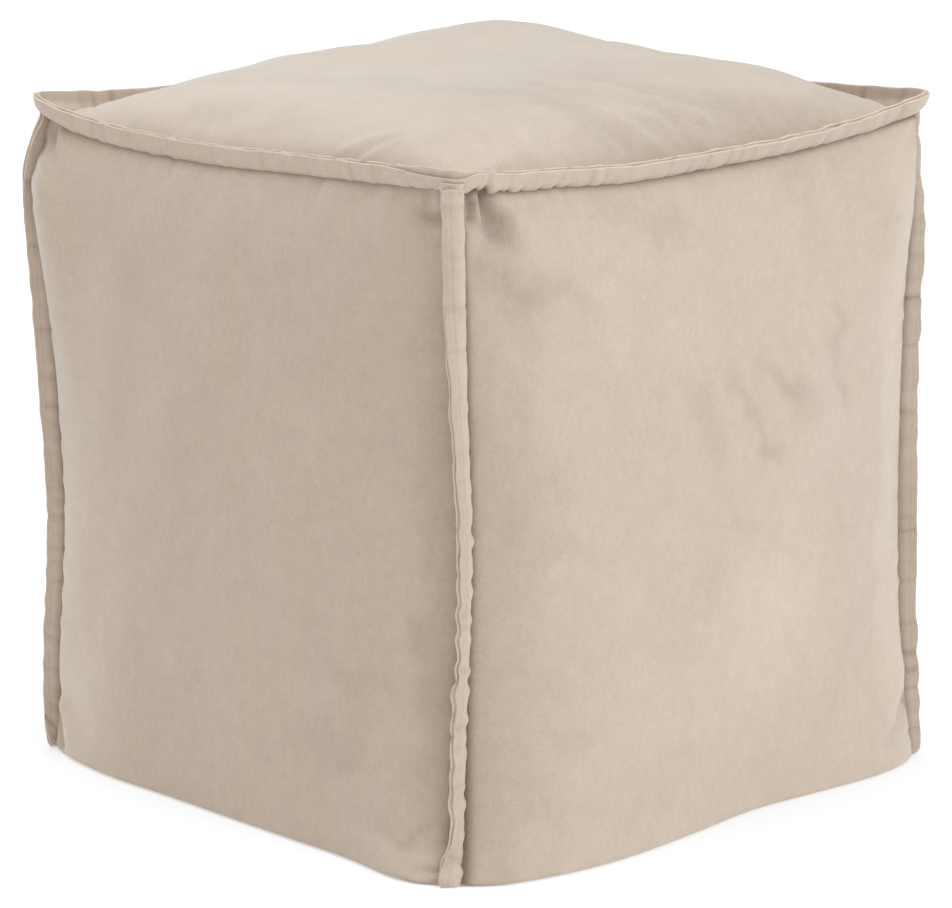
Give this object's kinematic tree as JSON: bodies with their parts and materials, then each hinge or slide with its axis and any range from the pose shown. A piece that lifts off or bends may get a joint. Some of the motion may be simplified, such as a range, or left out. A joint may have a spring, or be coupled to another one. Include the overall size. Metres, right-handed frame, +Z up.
{
  "type": "cube pouf stool",
  "caption": "Soft filled cube pouf of beige velvet-like cloth with a crowned top, a stand-up flange round the top and flanges down its upright edges.",
  "frame": {"origin": "middle of the base, on the floor: the centre of the bounding box's underside", "axes": "+Z up from the floor through the crowned top. -Y faces the front panel and +X the right panel, the two sides that the picture shows; the near upright seam stands at +X -Y."},
  "size_m": [0.5349, 0.5047, 0.5254],
  "materials": {
    "cushion_cloth": "matt short-pile velvet, warm beige",
    "top_flange_cloth": "matt short-pile velvet, warm beige, two plies stitched together",
    "corner_flange_cloth": "matt short-pile velvet, warm beige, two plies stitched together"
  },
  "bodies": {
    "root": {"cushion_body": "cushion_cloth", "top_flange_front": "top_flange_cloth", "top_flange_right": "top_flange_cloth", "top_flange_back": "top_flange_cloth", "top_flange_left": "top_flange_cloth", "corner_flange_front_left": "corner_flange_cloth", "corner_flange_front_right": "corner_flange_cloth", "corner_flange_back_right": "corner_flange_cloth", "corner_flange_back_left": "corner_flange_cloth"}
  },
  "joints": []
}
